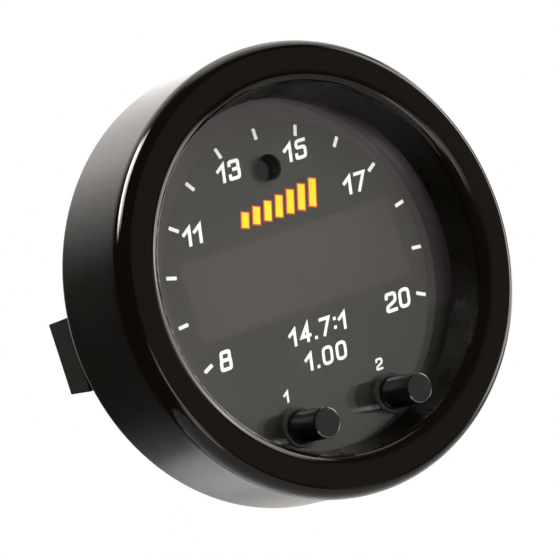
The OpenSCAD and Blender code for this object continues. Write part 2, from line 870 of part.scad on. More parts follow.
// Connectors: a shroud round one row of contacts, keyed on one long wall
module connector(ways, y, side) {
    floor_z = power_back_z - socket_floor_t;
    contact_slot = contact_w + 2 * screw_gap;
    color("#1b1b1d") face_on() at([0, y]) difference() {
        block(socket_width(ways) + 2 * socket_wall, connector_w, socket_mouth_z, power_back_z);
        block(socket_width(ways), connector_w - 2 * socket_wall, socket_mouth_z - cut, floor_z);
        at([0, side * connector_w / 2])
            block(key_w, 2 * socket_wall + cut, socket_mouth_z - cut, socket_mouth_z + key_depth);
        at_each([for (x = row(ways, contact_pitch)) [x, 0]])
            block(contact_slot, contact_slot, floor_z - cut, power_back_z + cut);
    }
}

module contacts(places) {
    color("#c9a64a") face_on() at_each(places)
        block(contact_w, contact_w, socket_mouth_z + contact_short, power_z + contact_tail);
}

// Rear cover, its seal and its countersunk screws
module rear_cover() {
    color("#1f1f22") face_on() difference() {
        disc(cover_r, -cup_depth, cover_z);
        at([0, harness_y]) cover_window(harness_ways);
        at([0, sensor_socket_y]) cover_window(sensor_ways);
        at_each(stud_places) hole(stud_r + screw_gap, -cup_depth, cover_z);
        around(cover_screw_r, cover_screw_angles) {
            hole(shank_r + screw_gap, -cup_depth, cover_z);
            translate([0, 0, -cup_depth])
                cylinder(r1 = head_r + screw_gap, r2 = shank_r, h = countersink_t + screw_gap);
        }
    }
}

module cover_window(ways) {
    margin = socket_wall + window_gap;
    block(socket_width(ways) + 2 * margin, connector_w + 2 * window_gap, -cup_depth - cut, cover_z + cut);
}

module cover_seal() {
    color("#101010") face_on() ring(cover_r, cup_in_r, cover_z, cover_seat_z);
}

module cover_screws() {
    color("#a8a8a4") face_on() around(cover_screw_r, cover_screw_angles)
        translate([0, 0, -cup_depth]) difference() {
            union() {
                cylinder(r1 = head_r, r2 = shank_r, h = countersink_t);
                disc(shank_r, countersink_t, cover_screw_len);
            }
            for (a = [45, 135]) rotate([0, 0, a]) block(cross_w, slot_w, -cut, slot_depth);
        }
}

// Studs: a round head inside the cover, a plain neck through it and a grooved thread behind it
function thread_outline(top_z, bottom_z) = [
    for (i = [0:floor((top_z - bottom_z) / thread_pitch) - 1], p = thread_shares)
        [stud_r - p[0] * thread_depth, top_z - (i + p[1]) * thread_pitch]
];

module mounting_studs() {
    head_z = cover_z + stud_head_t;
    color("#b9b9b5") face_on() at_each(stud_places) turned(concat(
        [[0, head_z], [stud_head_r, head_z], [stud_head_r, cover_z], [stud_r, cover_z]],
        [[stud_r, -cup_depth]],
        thread_outline(-cup_depth, stud_end_z),
        [[stud_r - thread_depth, stud_end_z], [0, stud_end_z]]
    ));
}

// Clamp bracket: a bar across the rear with a leg on each side of the cup
function bracket_outline() = let (
    inner = cup_r + leg_gap, outer = inner + bracket_t, c = bracket_corner
) concat(
    [[-outer, -leg_tip_gap]],
    arc(c - outer, bar_back_z + c, c, c, 180, 270, 5),
    arc(outer - c, bar_back_z + c, c, c, 270, 360, 5),
    [[outer, -leg_tip_gap], [inner, -leg_tip_gap]],
    arc(inner - c, bar_z + c, c, c, 360, 270, 5),
    arc(c - inner, bar_z + c, c, c, 270, 180, 5),
    [[-inner, -leg_tip_gap]]
);

module clamp_bracket() {
    half = bracket_w / 2;
    tip_half = half + bracket_draft / 2;
    color("#202022") face_on() translate([0, bracket_y, 0]) difference() {
        intersection() {
            rotate([90, 0, 0]) linear_extrude(2 * tip_half, center = true) polygon(bracket_outline());
            rotate([90, 0, 90]) linear_extrude(2 * cup_d, center = true) polygon([
                [-half, bar_back_z], [half, bar_back_z],
                [tip_half, -leg_tip_gap], [-tip_half, -leg_tip_gap]
            ]);
        }
        at_each([[-stud_x, 0], [stud_x, 0]]) hole(stud_r + bracket_hole_gap, bar_back_z, bar_z);
    }
}

module nut_washers() {
    color("#b9b9b5") face_on() at_each(stud_places)
        ring(stud_r + washer_w, stud_r + bracket_hole_gap, washer_z, bar_back_z);
}

module thumb_nut(side) {
    nut_r = nut_d / 2;
    collar_z = nut_back_z + nut_collar_t;
    color("#b08a3e") face_on() at([side * stud_x, bracket_y]) difference() {
        turned([
            [0, nut_back_z], [nut_r - nut_collar_w, nut_back_z], [nut_r - nut_collar_w, collar_z],
            [nut_r - nut_edge, collar_z], [nut_r, collar_z + nut_edge], [nut_r, nut_z - nut_edge],
            [nut_r - nut_edge, nut_z], [0, nut_z]
        ]);
        hole(stud_r + running_gap, nut_back_z, nut_z);
        around(nut_r + flute_r / 2, flute_angles) hole(flute_r, collar_z, nut_z);
    }
}

// The nodes that come in twos or share a module
module mode_button() { button(-1); }
module select_button() { button(1); }
module mode_bushing() { bushing(-1); }
module select_bushing() { bushing(1); }
module mode_plunger() { plunger(-1); }
module select_plunger() { plunger(1); }
module mode_switch() { switch_body(-1); }
module select_switch() { switch_body(1); }
module harness_connector() { connector(harness_ways, harness_y, -1); }
module sensor_connector() { connector(sensor_ways, sensor_socket_y, 1); }
module harness_pins() { contacts(harness_places); }
module sensor_pins() { contacts(sensor_places); }
module left_thumb_nut() { thumb_nut(-1); }
module right_thumb_nut() { thumb_nut(1); }

housing();
bezel();
bezel_seal();
trim_ring();
lens_seal();
lens();
adhesive_ring();
dial_plate();
smoke_filter();
light_box();
light_guide();
sweep_leds();
digit_display();
digit_segments();
display_pins();
sensor_pipe();
light_sensor();
mode_button();
select_button();
mode_bushing();
select_bushing();
mode_plunger();
select_plunger();
mode_switch();
select_switch();
switch_covers();
switch_leads();
snap_domes();
display_board();
frame_screws();
board_spacers();
board_screws();
power_board();
link_header();
link_pins();
controller_chip();
driver_chip();
chip_leads();
voltage_regulator();
power_inductor();
capacitors();
harness_connector();
harness_pins();
sensor_connector();
sensor_pins();
rear_cover();
cover_seal();
cover_screws();
mounting_studs();
clamp_bracket();
nut_washers();
left_thumb_nut();
right_thumb_nut();
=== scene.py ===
import json
import math

import bmesh
import bpy
from mathutils import Matrix, Vector


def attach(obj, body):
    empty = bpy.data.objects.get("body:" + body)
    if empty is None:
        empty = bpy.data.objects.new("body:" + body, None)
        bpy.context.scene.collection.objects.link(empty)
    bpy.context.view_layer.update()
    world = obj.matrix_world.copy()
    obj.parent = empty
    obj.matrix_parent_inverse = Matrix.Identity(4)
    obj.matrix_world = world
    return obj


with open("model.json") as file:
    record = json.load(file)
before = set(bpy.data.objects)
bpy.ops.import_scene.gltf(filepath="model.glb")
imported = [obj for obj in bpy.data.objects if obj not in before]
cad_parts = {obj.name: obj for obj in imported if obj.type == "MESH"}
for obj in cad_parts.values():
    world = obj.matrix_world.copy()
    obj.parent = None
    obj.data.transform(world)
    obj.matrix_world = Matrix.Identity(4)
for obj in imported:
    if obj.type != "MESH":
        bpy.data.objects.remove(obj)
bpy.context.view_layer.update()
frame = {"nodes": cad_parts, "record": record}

scene = bpy.context.scene
scene.view_settings.view_transform = "Standard"
MM = 0.001


def portrait_camera():
    """Sets up a long portrait lens, about 36 cm from the dial, to its left and rolled."""
    camera = bpy.data.objects.new("camera", bpy.data.cameras.new("camera"))
    camera.data.sensor_width = 36
    camera.data.lens = 173.9
    camera.data.clip_start = 10 * MM
    right = Vector((0.80273, -0.51157, -0.30647))
    up = Vector((0.27172, -0.14369, 0.95159))
    back = Vector((-0.53084, -0.84714, 0.02366))
    stand = Vector((-191.413, -310.100, 8.392)) * MM
    camera.matrix_world = Matrix.Translation(stand) @ Matrix((right, up, back)).transposed().to_4x4()
    scene.collection.objects.link(camera)
    scene.camera = camera


portrait_camera()


# Nodes

SOFT = "SMOOTHSTEP"     # the curve of a ramp that eases in and out


def colour(written):
    """Turns a hex colour, as a screen shows it, into the linear values that Blender lights."""
    parts = [int(written[i:i + 2], 16) / 255 for i in (1, 3, 5)]
    return [p / 12.92 if p <= 0.04045 else ((p + 0.055) / 1.055) ** 2.4 for p in parts] + [1]


def add(tree, kind, inputs=None, **settings):
    """Adds a node with its settings. An input is a value or another node's output."""
    node = tree.nodes.new(kind)
    for name, value in settings.items():
        setattr(node, name, value)
    for name, value in (inputs or {}).items():
        if isinstance(value, bpy.types.NodeSocket):
            tree.links.new(value, node.inputs[name])
        else:
            node.inputs[name].default_value = value
    return node


def maths(tree, operation, *values):
    """Adds a maths node and gives its result."""
    return add(tree, "ShaderNodeMath", dict(enumerate(values)), operation=operation).outputs[0]


def ramp(tree, value, start, end, low=0.0, high=1.0, curve="LINEAR"):
    """Runs from low to high while a value goes from start to end."""
    ends = {"Value": value, "From Min": start, "From Max": end, "To Min": low, "To Max": high}
    return add(tree, "ShaderNodeMapRange", ends, interpolation_type=curve).outputs["Result"]


def blend(tree, share, low, high):
    """Blends two colours."""
    return add(tree, "ShaderNodeMix", {0: share, 6: low, 7: high}, data_type="RGBA").outputs[2]


def between(tree, share, low, high):
    """Blends two numbers."""
    return add(tree, "ShaderNodeMix", {0: share, 2: low, 3: high}, data_type="FLOAT").outputs[0]


def switch(tree, share, one, two):
    """Blends two shaders."""
    return add(tree, "ShaderNodeMixShader", {0: share, 1: one, 2: two}).outputs[0]


def noise(tree, place, size, detail):
    """Gives a cloudy pattern whose patches are about size millimetres wide."""
    sizes = {"Vector": place, "Scale": 1 / (size * MM), "Detail": detail}
    return add(tree, "ShaderNodeTexNoise", sizes).outputs["Fac"]


def material(name):
    """Starts a material, and gives it with its nodes and its shader."""
    made = bpy.data.materials.new(name)
    made.use_nodes = True
    return made, made.node_tree, made.node_tree.nodes["Principled BSDF"]


# Materials

def surface(name, low, high, patch, roughness, grain, depth, **shader):
    """Makes a surface whose colour drifts from low to high over patches, with a fine relief.

    patch and grain are sizes in millimetres, depth is the height of the relief in millimetres,
    and roughness is the pair of values that the patches run between.
    """
    made, tree, body = material(name)
    place = add(tree, "ShaderNodeTexCoord").outputs["Object"]
    drift = noise(tree, place, patch, detail=4.0)
    skin = noise(tree, place, grain, detail=3.0)
    tint = blend(tree, drift, colour(low), colour(high))
    sheen = ramp(tree, drift, start=0.3, end=0.7, low=roughness[0], high=roughness[1])
    relief = add(tree, "ShaderNodeBump", {"Height": skin, "Distance": depth * MM})
    tree.links.new(tint, body.inputs["Base Color"])
    tree.links.new(sheen, body.inputs["Roughness"])
    tree.links.new(relief.outputs["Normal"], body.inputs["Normal"])
    for socket, value in shader.items():
        body.inputs[socket.replace("_", " ")].default_value = value
    return made


# Black ABS from a polished mould: a deep wet gloss that ripples a very little, as thick
# mouldings do where they sink while they cool. Its pigment is warm.
bezel_abs = surface("polished_abs", "#0A0602", "#0E0A05", 9, (0.05, 0.10), 3.5, 0.004,
                    IOR=1.53, Specular_IOR_Level=0.12)

# Black glass-filled nylon from a smooth mould: a satin gloss with fine flow marks, so that the
# white behind it spreads along the wall as one soft band.
drum_nylon = surface("moulded_nylon", "#080602", "#0D0A06", 6, (0.13, 0.19), 1.2, 0.002, IOR=1.53)

# The trim ring is the bezel's plastic from a mould that was left as it was turned.
trim_abs = surface("turned_mould_abs", "#060502", "#0B0906", 5, (0.24, 0.36), 1.0, 0.004,
                   IOR=1.53, Specular_IOR_Level=0.15)

# Black silicone, compression moulded: dull, and a shade greyer than the plastics.
seal_silicone = surface("moulded_silicone", "#141414", "#1B1B1B", 2, (0.55, 0.7), 0.25, 0.006, IOR=1.41)

# Double-sided acrylic tape, die cut: a dull black edge.
tape_acrylic = surface("die_cut_tape", "#0A0A0A", "#131313", 1.5, (0.5, 0.65), 0.3, 0.004, IOR=1.47)

# Polyester sheet screen printed with matt ink: near black with a warm, slightly green cast.
dial_ink = surface("printed_polyester", "#0D0D0A", "#12120E", 7, (0.42, 0.55), 0.18, 0.002, IOR=1.5)

# Smoked polycarbonate film: a little lighter and redder than the ink round it.
smoked_film = surface("smoked_polycarbonate", "#1D1718", "#231B1C", 8, (0.12, 0.2), 2.5, 0.001, IOR=1.58)

# White ABS light box: bright inside and yellowed a very little by the ABS itself.
box_abs = surface("white_abs", "#DAD8CF", "#E6E4DC", 4, (0.35, 0.5), 0.6, 0.004, IOR=1.53)

# Black button caps in polished ABS: glossy, so that their rims catch the lamps.
button_abs = surface("button_abs", "#080806", "#0D0D0B", 3, (0.07, 0.14), 0.8, 0.003, IOR=1.53)

# Acetal, dark grey in the bushings and natural white in the plungers: waxy, and duller than
# the caps.
bushing_acetal = surface("black_acetal", "#222222", "#2C2C2C", 2, (0.25, 0.4), 0.4, 0.004, IOR=1.48)
plunger_acetal = surface("natural_acetal", "#D9D7D0", "#E6E4DE", 2, (0.3, 0.45), 0.4, 0.004, IOR=1.48)

# Tactile switch body in black nylon and its pressed stainless cover.
switch_nylon = surface("switch_nylon", "#161616", "#1F1F1F", 1.5, (0.4, 0.55), 0.2, 0.004, IOR=1.53)
stainless = surface("rolled_stainless", "#A9A9A6", "#BEBDB9", 1.2, (0.22, 0.36), 0.12, 0.002, Metallic=1)

# Zinc-plated screws and studs: pale steel with a faint blue cast from the plating bath.
zinc_steel = surface("zinc_plated_steel", "#9FA6AC", "#B9BEC2", 0.9, (0.25, 0.4), 0.15, 0.003, Metallic=1)

# Turned brass spacers and thumb nuts: warm yellow, with the fine grain of cut metal.
turned_brass = surface("turned_brass", "#B08D45", "#C7A55A", 1.5, (0.2, 0.34), 0.1, 0.003, Metallic=1)

# Gold over nickel on the contacts, and bright tin on the solder tails.
gold_plate = surface("gold_plate", "#D2A745", "#E3BC62", 0.6, (0.16, 0.28), 0.1, 0.001, Metallic=1)
bright_tin = surface("bright_tin", "#BDBDB9", "#D0D0CC", 0.5, (0.2, 0.34), 0.1, 0.002, Metallic=1)

# Moulded epoxy chip bodies: charcoal grey with a sandy bloom from the filler.
chip_epoxy = surface("moulded_epoxy", "#1B1B1C", "#262627", 0.8, (0.5, 0.65), 0.08, 0.003, IOR=1.55)

# Pressed ferrite and fired ceramic: dark grey and matt, and biscuit tan.
pressed_ferrite = surface("pressed_ferrite", "#2A2928", "#373533", 0.7, (0.55, 0.7), 0.12, 0.006, IOR=1.6)
fired_ceramic = surface("fired_ceramic", "#A98C66", "#BC9F79", 0.6, (0.4, 0.55), 0.1, 0.004, IOR=1.6)

# Epoxy and glass laminate under green solder mask.
solder_mask = surface("green_solder_mask", "#0E3B22", "#14502F", 3, (0.25, 0.38), 0.35, 0.006, IOR=1.54)

# Black PBT connector shells and the nylon cover, straight from the mould.
shell_pbt = surface("moulded_pbt", "#131314", "#1C1C1E", 2.5, (0.38, 0.5), 0.3, 0.006, IOR=1.57)
cover_nylon = surface("cover_nylon", "#0F0F10", "#171718", 4, (0.34, 0.46), 0.35, 0.006, IOR=1.53)

# The clamp's nylon is satin, with a spark-eroded grain that kills hard reflections.
clamp_nylon = surface("grained_nylon", "#070502", "#0B0906", 4, (0.34, 0.46), 0.3, 0.010,
                      IOR=1.53, Specular_IOR_Level=0.15)

# Clear and milky resins of the guides, lamps and digits, and the paint round the digits.
guide_acrylic = surface("frosted_acrylic", "#D9DEDD", "#E6EAE9", 2, (0.3, 0.42), 0.2, 0.002, IOR=1.49)
lamp_resin = surface("milky_led_resin", "#E5E2CF", "#F0EEDF", 0.8, (0.18, 0.3), 0.3, 0.001, IOR=1.52)
segment_resin = surface("unlit_segment_resin", "#C9C4B8", "#D9D5CB", 0.9, (0.3, 0.42), 0.3, 0.001, IOR=1.52)
display_face = surface("display_face_paint", "#1B1C1D", "#242526", 2, (0.5, 0.6), 0.2, 0.003, IOR=1.5)

# The light sensor's epoxy, tinted nearly black.
sensor_resin = surface("dark_sensor_resin", "#0E0D0C", "#161412", 0.8, (0.2, 0.3), 0.4, 0.001, IOR=1.54)


def clear_acrylic():
    """Makes the cast acrylic of the lens: clear and glossy on both faces, and painted flat dark grey where
    it is cut, as painted shade on its edges and hole walls.

    Its shadow is left out, because the lamps' light passes through a flat pane as it is.
    """
    made, tree, pane = material("cast_acrylic")
    pane.inputs["Base Color"].default_value = colour("#FBFBF8")
    pane.inputs["Transmission Weight"].default_value = 1
    pane.inputs["IOR"].default_value = 1.49
    coordinates = add(tree, "ShaderNodeTexCoord").outputs
    wipe = noise(tree, coordinates["Object"], size=6, detail=5.0)
    haze = ramp(tree, wipe, start=0.35, end=0.75, high=0.008)
    tree.links.new(haze, pane.inputs["Roughness"])
    # Both faces look along Y. The cut edges and their bevels look aside.
    facing = add(tree, "ShaderNodeSeparateXYZ", {"Vector": coordinates["Normal"]}).outputs["Y"]
    edge_shade_mask = ramp(tree, maths(tree, "ABSOLUTE", facing), start=0.8, end=0.98, low=1.0, high=0.0)
    # Painted shade: the cut edges and the walls of the holes get a flat dark grey diffuse in place of the
    # glass.
    painted_edge_shade = add(tree, "ShaderNodeBsdfDiffuse", {"Color": colour("#262624")}).outputs["BSDF"]
    seen = switch(tree, edge_shade_mask, pane.outputs["BSDF"], painted_edge_shade)
    through = add(tree, "ShaderNodeBsdfTransparent", {"Color": colour("#F4F4F0")}).outputs["BSDF"]
    shadow = add(tree, "ShaderNodeLightPath").outputs["Is Shadow Ray"]
    tree.links.new(switch(tree, shadow, seen, through), tree.nodes["Material Output"].inputs["Surface"])
    return made


lens_acrylic = clear_acrylic()

# The material of each slot that the record names
FINISH = {
    "housing_plastic": drum_nylon, "bezel_plastic": bezel_abs, "trim_plastic": trim_abs,
    "seal_rubber": seal_silicone, "lens_acrylic": lens_acrylic, "adhesive_film": tape_acrylic,
    "dial_print": dial_ink, "smoked_film": smoked_film, "light_box_plastic": box_abs,
    "guide_acrylic": guide_acrylic, "led_resin": lamp_resin, "display_face": display_face,
    "segment_resin": segment_resin, "tinned_pin": bright_tin, "sensor_resin": sensor_resin,
    "button_plastic": button_abs, "bushing_plastic": bushing_acetal,
    "plunger_plastic": plunger_acetal, "switch_plastic": switch_nylon, "switch_steel": stainless,
    "board_laminate": solder_mask, "screw_steel": zinc_steel, "spacer_brass": turned_brass,
    "contact_gold": gold_plate, "chip_epoxy": chip_epoxy, "inductor_ferrite": pressed_ferrite,
    "capacitor_ceramic": fired_ceramic, "connector_plastic": shell_pbt,
    "cover_plastic": cover_nylon, "stud_steel": zinc_steel, "bracket_plastic": clamp_nylon,
    "nut_brass": turned_brass,
}

for part in frame["record"]["subparts"]:
    node = frame["nodes"][part["node"]]
    node.data.materials.clear()
    node.data.materials.append(FINISH[part["material_slot"]])


# Marks printed on the dial, with places in millimetres across and up from its middle

DIAL = 9.0               # the dial plate's face, out from the panel
FILM_FOOT = 0.005        # height of the tinted film's foot over the plate
FILM = 0.02              # thickness of the film
INK_FOOT = 0.026         # height of the ink's foot over the plate
INK = 0.04               # thickness of the ink
SECOND_FOOT = 0.07       # height of the foot of ink that is printed over other ink
LAYER = 0.004            # rise of a stroke of ink where it crosses another
WINDOW = (17.0, 5.3)     # half the width and half the height of the digits' window
WINDOW_MIDDLE = 0.6      # height of the window's middle
SWEEP_RADIUS = 20.3      # where the ring of lights starts
SWEEP_ENDS = (-11, -9)   # heights between which the ring fades out at its two ends
BLUR = 0.3               # width over which the film's tint changes

# The middle, the radius and the number of steps of each edge of the film
FILM_EDGES = (
    (0, 0, 26.0, 128),          # its rim
    (0, 14.5, 1.66, 48),        # the hole over the sensor
    (-7.6, -19.0, 3.0, 48),     # the holes round the two buttons
    (7.6, -19.0, 3.0, 48),
)

# Opaque white screen ink: chalky, and a shade cool.
white_ink = surface("white_screen_ink", "#EEF0F4", "#F8F9FB", 1.2, (0.5, 0.62), 0.12, 0.003, IOR=1.5)

# The same ink in the level's two colours.
yellow_ink = surface("yellow_screen_ink", "#F5C800", "#FFDA10", 2.2, (0.45, 0.58), 0.12, 0.003, IOR=1.5)
orange_ink = surface("orange_screen_ink", "#C8401A", "#DB5424", 2.2, (0.45, 0.58), 0.12, 0.003, IOR=1.5)


def film_over_windows():
    """Makes the film's ink: olive black, and a little pinker and paler over the window and the lights."""
    made = surface("tinted_film_ink", "#0C0C08", "#10100C", 7, (0.42, 0.5), 0.35, 0.0004, IOR=1.5)
    tree = made.node_tree
    base = tree.nodes["Principled BSDF"].inputs["Base Color"]
    olive = base.links[0].from_socket
    place = add(tree, "ShaderNodeTexCoord").outputs["Object"]
    axes = add(tree, "ShaderNodeSeparateXYZ", {"Vector": place}).outputs
    across, up = axes["X"], axes["Z"]
    flat = add(tree, "ShaderNodeCombineXYZ", {"X": across, "Y": up}).outputs[0]
    out = add(tree, "ShaderNodeVectorMath", {0: flat}, operation="LENGTH").outputs["Value"]

    def fade(value, start, end):
        return ramp(tree, value, start * MM, end * MM, curve=SOFT)

    middle = maths(tree, "SUBTRACT", up, WINDOW_MIDDLE * MM)
    sides = []
    for off, half in zip((across, middle), WINDOW):
        sides.append(fade(maths(tree, "ABSOLUTE", off), half + BLUR, half))
    window = maths(tree, "MULTIPLY", *sides)
    ring = fade(out, SWEEP_RADIUS, SWEEP_RADIUS + BLUR)
    sweep = maths(tree, "MULTIPLY", ring, fade(up, *SWEEP_ENDS))
    tinted = maths(tree, "MAXIMUM", window, sweep)
    tree.links.new(blend(tree, tinted, olive, colour("#2A2024")), base)
    return made


CORNER_STEPS = 6     # straight pieces in a rounded corner
NEAREST = 1e-5       # points of a path that are nearer than this, in millimetres, count as one


def rounded(points, radius, closed=False):
    """Swaps each corner of a path for a short arc of the radius, or less on a short side."""
    path = []
    count = len(points)
    for i, point in enumerate(points):
        corner = Vector(point)
        if not radius or not closed and i in (0, count - 1):
            path.append(corner)
            continue
        before, after = Vector(points[i - 1]) - corner, Vector(points[(i + 1) % count]) - corner
        reach = min(radius / math.tan(before.angle(after) / 2), before.length / 2, after.length / 2)
        start, end = corner + before.normalized() * reach, corner + after.normalized() * reach
        for step in range(CORNER_STEPS + 1):
            t = step / CORNER_STEPS
            path.append(start * (1 - t) ** 2 + corner * 2 * t * (1 - t) + end * t ** 2)
    return [point for i, point in enumerate(path) if (point - path[i - 1]).length > NEAREST]


def stroke(mesh, path, pen, closed=False, lift=0.0):
    """Lays a flat pen stroke with square ends and mitred corners along a path, and gives its points."""
    count = len(path)
    sides = []
    for i, point in enumerate(path):
        ways = []
        if closed or i:
            ways.append((point - path[i - 1]).normalized())
        if closed or i < count - 1:
            ways.append((path[(i + 1) % count] - point).normalized())
        along = sum(ways, Vector((0, 0))).normalized()
        across = Vector((-along.y, along.x)) * pen / 2 / along.dot(ways[0])
        if not closed and i == 0:
            point = point - along * pen / 2
        if not closed and i == count - 1:
            point = point + along * pen / 2
        sides.append([mesh.verts.new((p.x, p.y, lift)) for p in (point + across, point - across)])
    for i in range(count if closed else count - 1):
        one, two = sides[i], sides[(i + 1) % count]
        mesh.faces.new((one[0], one[1], two[1], two[0]))
    return [vert for side in sides for vert in side]


def on_dial(name, mesh, finish, foot, thickness):
    """Turns flat shapes in dial millimetres into a thin layer that lies level over the dial's face."""
    rims = [edge.verts[:] for edge in mesh.edges if edge.is_boundary]
    risen = {vert: mesh.verts.new(vert.co + Vector((0, 0, thickness))) for vert in mesh.verts[:]}
    for face in mesh.faces[:]:
        mesh.faces.new([risen[vert] for vert in face.verts])
    for one, two in rims:
        mesh.faces.new((one, two, risen[two], risen[one]))
    for vert in mesh.verts:
        x, y, z = vert.co
        vert.co = Vector((x, -(DIAL + foot + z), y)) * MM
    bmesh.ops.recalc_face_normals(mesh, faces=mesh.faces[:])
    data = bpy.data.meshes.new(name)
    mesh.to_mesh(data)
    mesh.free()
    data.materials.append(finish)
    piece = bpy.data.objects.new(name, data)
    scene.collection.objects.link(piece)
    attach(piece, "gauge")


# Each figure is one or two pen strokes in a box one wide and one high about its centre. A stroke
# that ends where it starts is a closed loop.
FIGURES = {
    "0": [[(-0.5, -0.5), (0.5, -0.5), (0.5, 0.5), (-0.5, 0.5), (-0.5, -0.5)]],
    "1": [[(-0.7, 0.16), (0.3, 0.46), (0.3, -0.5)]],
    "2": [[(-0.5, 0.3), (-0.5, 0.5), (0.5, 0.5), (0.5, 0.04), (-0.5, -0.24), (-0.5, -0.5), (0.5, -0.5)]],
    "3": [[(-0.5, 0.34), (-0.5, 0.5), (0.45, 0.5), (0.45, 0.03), (-0.05, 0.03)],
          [(0.0, 0.03), (0.5, 0.03), (0.5, -0.5), (-0.5, -0.5), (-0.5, -0.32)]],
    "4": [[(0.24, -0.5), (0.24, 0.5), (-0.5, -0.2), (0.0, -0.2)], [(0.0, -0.2), (0.5, -0.2)]],
    "5": [[(0.46, 0.5), (-0.42, 0.5), (-0.46, 0.1), (0.5, 0.1), (0.5, -0.5), (-0.5, -0.5), (-0.5, -0.3)]],
    "7": [[(-0.5, 0.5), (0.5, 0.5), (-0.16, -0.5)]],
    "8": [[(-0.44, 0.03), (0.44, 0.03), (0.44, 0.5), (-0.44, 0.5), (-0.44, 0.03)],
          [(-0.5, -0.5), (0.5, -0.5), (0.5, 0.03), (-0.5, 0.03), (-0.5, -0.5)]],
    ":": [[(-0.1, 0.28), (0.1, 0.28)], [(-0.1, -0.28), (0.1, -0.28)]],
    ".": [[(-0.1, -0.5), (0.1, -0.5)]],
}
SLANT = math.tan(math.radians(12))

# A figure's width and the radius of its corners, as shares of its height. The figures that
# CORNERS leaves out have crisp corners.
WIDTH = 0.72
NARROW = {"1": 0.50, ":": 0.2, ".": 0.2}
CORNERS = {"0": 0.24, "2": 0.17, "3": 0.11, "5": 0.15, "8": 0.11}


def write(mesh, figures, x, y, height, pen, space=0.13):
    """Draws slanted figures about a centre. The space between them is a share of their height."""
    widths = [NARROW.get(figure, WIDTH) * height for figure in figures]
    left = x - (sum(widths) + space * height * (len(figures) - 1)) / 2
    for figure, width in zip(figures, widths):
        for layer, points in enumerate(FIGURES[figure]):
            closed = points[0] == points[-1]
            if closed:
                points = points[:-1]
            sized = [(px * (width - pen), py * (height - pen)) for px, py in points]
            path = rounded(sized, height * CORNERS.get(figure, 0), closed)
            for vert in stroke(mesh, path, pen, closed, layer * LAYER):
                vert.co.x += left + width / 2 + SLANT * vert.co.y
                vert.co.y += y
        left += width + space * height


def tinted_film():
    """Covers the plate with a film tinted black, which hides its window and its lights while unlit.

    It is open over the sensor and round the two buttons.
    """
    mesh = bmesh.new()
    edges = []
    for x, y, radius, steps in FILM_EDGES:
        loop = []
        for k in range(steps):
            turn = 2 * math.pi * k / steps
            loop.append(mesh.verts.new((x + radius * math.cos(turn), y + radius * math.sin(turn), 0)))
        edges += [mesh.edges.new((loop[k - 1], loop[k])) for k in range(steps)]
    bmesh.ops.triangle_fill(mesh, use_beauty=True, use_dissolve=False, edges=edges)
    on_dial("tinted_film", mesh, film_over_windows(), FILM_FOOT, FILM)


# The numbers of the scale, and the places of their middles
NUMBERS = (("8", -14.75, -7.6), ("11", -13.6, 9.1), ("13", -5.5, 15.6),
           ("15", 5.35, 15.65), ("17", 12.85, 9.15), ("20", 13.65, -7.6))


def dial_numbers():
    """Prints the numbers of the scale."""
    mesh = bmesh.new()
    for figures, x, y in NUMBERS:
        write(mesh, figures, x, y, height=2.66, pen=0.47)
    on_dial("dial_numbers", mesh, white_ink, INK_FOOT, INK)


TICKS = 13
TICK_TURN = 19.02             # degrees from one tick to the next
TICK_ENDS = (18.74, 19.76)    # how far each end of a tick lies from the dial's middle


def dial_ticks():
    """Prints the ticks of the scale, with the middle one at the top."""
    mesh = bmesh.new()
    for i in range(TICKS):
        turn = math.radians(90 + TICK_TURN * (TICKS // 2 - i))
        out = Vector((math.cos(turn), math.sin(turn)))
        stroke(mesh, [out * end for end in TICK_ENDS], pen=0.48)
    on_dial("dial_ticks", mesh, white_ink, INK_FOOT, INK)


def plain_figures():
    """Prints the ratio at which fuel burns cleanly, its share of itself, and the buttons' numbers."""
    mesh = bmesh.new()
    write(mesh, "14.7:1", 0.2, -7.7, height=2.45, pen=0.42, space=0.2)
    write(mesh, "1.00", 0.1, -11.4, height=2.45, pen=0.42, space=0.2)
    write(mesh, "1", -7.67, -14.7, height=1.6, pen=0.3)
    write(mesh, "2", 7.65, -14.85, height=1.6, pen=0.3)
    on_dial("plain_figures", mesh, white_ink, INK_FOOT, INK)


BARS = 7
BAR_FOOT = (-5.6, 8.4)     # foot of the first bar
BAR_PITCH = 1.84
BAR_SLANT = 1.6            # how many times the figures' slant the bars have
FIRST_BAR = 0.9            # length of the shortest bar between the middles of its ends
BAR_GROWTH = 0.27          # how much longer each next bar is


def level(name, finish, pen, foot):
    """Prints one colour of the level over the window: slanted bars that grow from left to right."""
    mesh = bmesh.new()
    for i in range(BARS):
        low = Vector(BAR_FOOT) + Vector((BAR_PITCH * i, 0))
        high = low + Vector((SLANT * BAR_SLANT, 1)) * (FIRST_BAR + BAR_GROWTH * i)
        stroke(mesh, [low, high], pen)
    on_dial(name, mesh, finish, foot, INK)


tinted_film()
dial_numbers()
dial_ticks()
plain_figures()
level("level_edges", orange_ink, pen=1.34, foot=INK_FOOT)
level("level_bars", yellow_ink, pen=1.0, foot=SECOND_FOOT)


# Light and background

# The soft boxes: direction from the gauge, distance and width in metres, and brightness, with
# white paper as 1
SOFT_BOXES = {
    "soft_box_right": ((0.92, 0.30, 0.05), 1.1, 0.55, 2.6),
    "soft_box_top": ((0.50, 0.10, 0.85), 1.1, 0.75, 3.2),
    "soft_box_front_left": ((-0.45, -0.68, 0.62), 1.2, 0.85, 5.3),
    "soft_box_front_right": ((0.45, -0.70, 0.58), 1.2, 0.70, 4.6),
}

